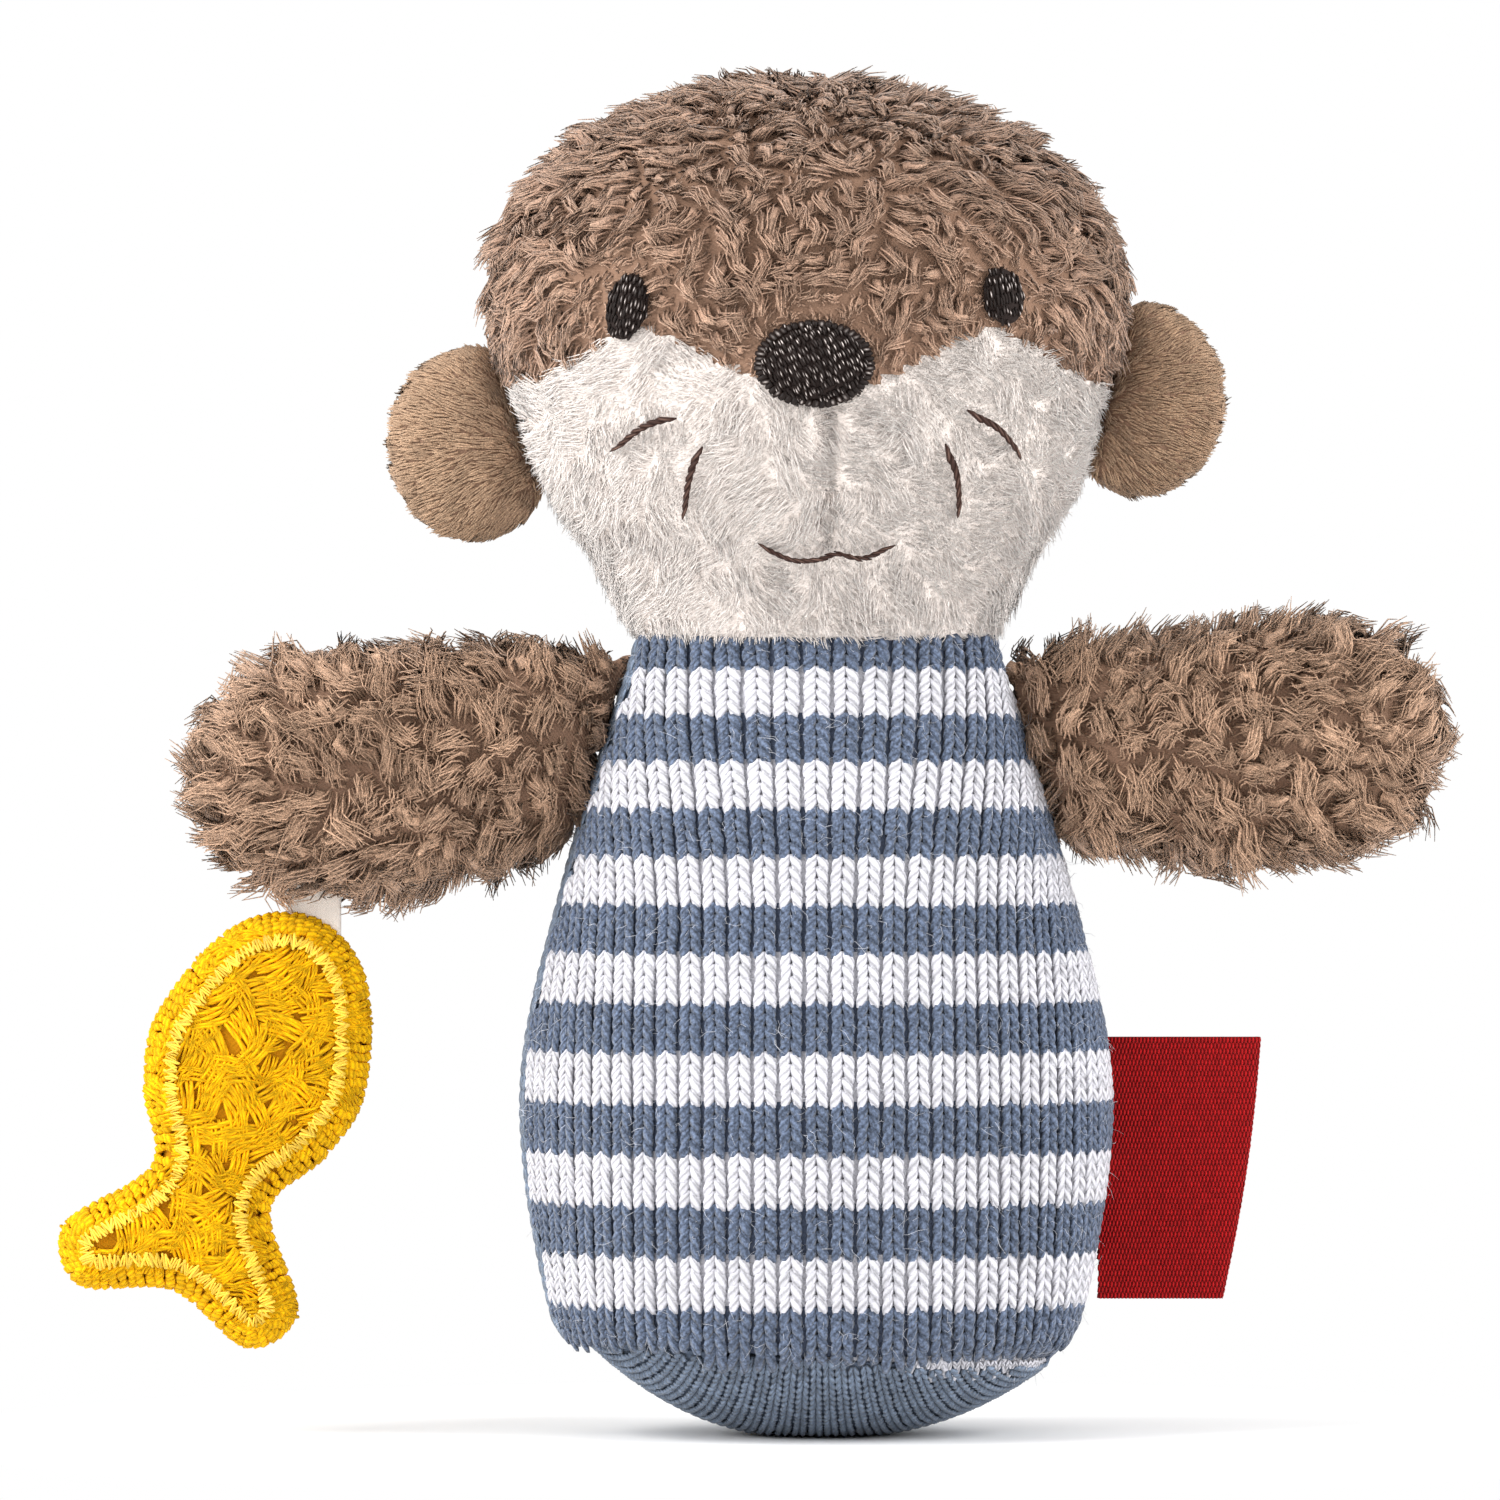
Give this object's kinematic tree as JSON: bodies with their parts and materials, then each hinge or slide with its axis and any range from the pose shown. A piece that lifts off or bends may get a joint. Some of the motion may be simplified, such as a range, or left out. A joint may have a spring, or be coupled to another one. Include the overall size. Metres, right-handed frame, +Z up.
{
  "type": "plush otter rattle",
  "caption": "Stuffed otter rattle with a striped knitted body, plush head and arms, velour ears, a padded fish on a ribbon and a woven side tag; beads sound in a capsule inside.",
  "frame": {"origin": "middle of the flat under the round base, on the floor", "axes": "+Z up through the body and head, the face looks along -Y, +X to the right as seen from the front"},
  "size_m": [0.1274, 0.0525, 0.1264],
  "materials": {
    "knit_striped": "matte",
    "knit_plain": "matte",
    "plush_brown": "matte",
    "plush_white": "matte",
    "velour_brown": "matte",
    "dark_thread": "satin",
    "satin_ribbon": "satin",
    "fish_knit": "matte",
    "fish_thread": "satin",
    "tag_red": "matte",
    "stuffing": "matte",
    "capsule_plastic": "satin",
    "bead_plastic": "gloss"
  },
  "bodies": {
    "torso": {"body_front_panel": "knit_striped", "body_back_panel": "knit_plain", "base_panel": "knit_plain", "body_stuffing_lower": "stuffing", "body_stuffing_upper": "stuffing", "capsule_lower": "capsule_plastic", "capsule_upper": "capsule_plastic"},
    "beads": {"bead_1": "bead_plastic", "bead_2": "bead_plastic", "bead_3": "bead_plastic", "bead_4": "bead_plastic", "bead_5": "bead_plastic", "bead_6": "bead_plastic"},
    "head": {"forehead_panel": "plush_brown", "back_head_panel": "plush_brown", "muzzle_left": "plush_white", "muzzle_right": "plush_white", "head_stuffing": "stuffing", "nose": "dark_thread", "eye_left": "dark_thread", "eye_right": "dark_thread", "mouth_stitch": "dark_thread", "whisker_left_upper": "dark_thread", "whisker_left_lower": "dark_thread", "whisker_right_upper": "dark_thread", "whisker_right_lower": "dark_thread"},
    "ear_left": {"ear_left_front": "velour_brown", "ear_left_back": "velour_brown"},
    "ear_right": {"ear_right_front": "velour_brown", "ear_right_back": "velour_brown"},
    "arm_left": {"arm_left_cover": "plush_brown", "arm_left_stuffing": "stuffing"},
    "arm_right": {"arm_right_cover": "plush_brown", "arm_right_stuffing": "stuffing"},
    "ribbon": {"ribbon": "satin_ribbon"},
    "fish": {"fish_front": "fish_knit", "fish_back": "fish_knit", "fish_wadding": "stuffing", "fish_outline_stitch": "fish_thread"},
    "tag": {"woven_tag": "tag_red"}
  },
  "joints": [
    {"name": "head_turn", "type": "hinge", "parent": "torso", "child": "head", "pos_m": [0, 0, 0.074], "axis": [0, 0, 1], "range_deg": [-20, 20], "stiffness_Nm_per_rad": 0.02},
    {"name": "ear_left_fold", "type": "hinge", "parent": "head", "child": "ear_left", "pos_m": [-0.02705, 0.002, 0.093], "axis": [0, 0, 1], "range_deg": [-25, 25], "stiffness_Nm_per_rad": 0.001},
    {"name": "ear_right_fold", "type": "hinge", "parent": "head", "child": "ear_right", "pos_m": [0.02723, 0.002, 0.0972], "axis": [0, 0, -1], "range_deg": [-25, 25], "stiffness_Nm_per_rad": 0.001},
    {"name": "arm_left_swing", "type": "hinge", "parent": "torso", "child": "arm_left", "pos_m": [-0.02051, 0, 0.0648], "axis": [0.2999, 0, 0.954], "range_deg": [-45, 45], "stiffness_Nm_per_rad": 0.005},
    {"name": "arm_right_swing", "type": "hinge", "parent": "torso", "child": "arm_right", "pos_m": [0.0207, 0, 0.0642], "axis": [0.2996, 0, -0.9541], "range_deg": [-45, 45], "stiffness_Nm_per_rad": 0.005},
    {"name": "ribbon_flap", "type": "hinge", "parent": "arm_left", "child": "ribbon", "pos_m": [-0.04702, 0, 0.05232], "axis": [-1, 0, 0], "range_deg": [-60, 60]},
    {"name": "fish_sway", "type": "hinge", "parent": "ribbon", "child": "fish", "pos_m": [-0.04702, 0, 0.04672], "axis": [0, 1, 0], "range_deg": [-30, 25]},
    {"name": "tag_fold", "type": "hinge", "parent": "torso", "child": "tag", "pos_m": [0.02795, 0, 0.025], "axis": [0, 0, -1], "range_deg": [-50, 50], "stiffness_Nm_per_rad": 0.0003},
    {"name": "beads_shake", "type": "slide", "parent": "torso", "child": "beads", "axis": [0, 0, 1], "range_m": [0, 0.016]}
  ]
}
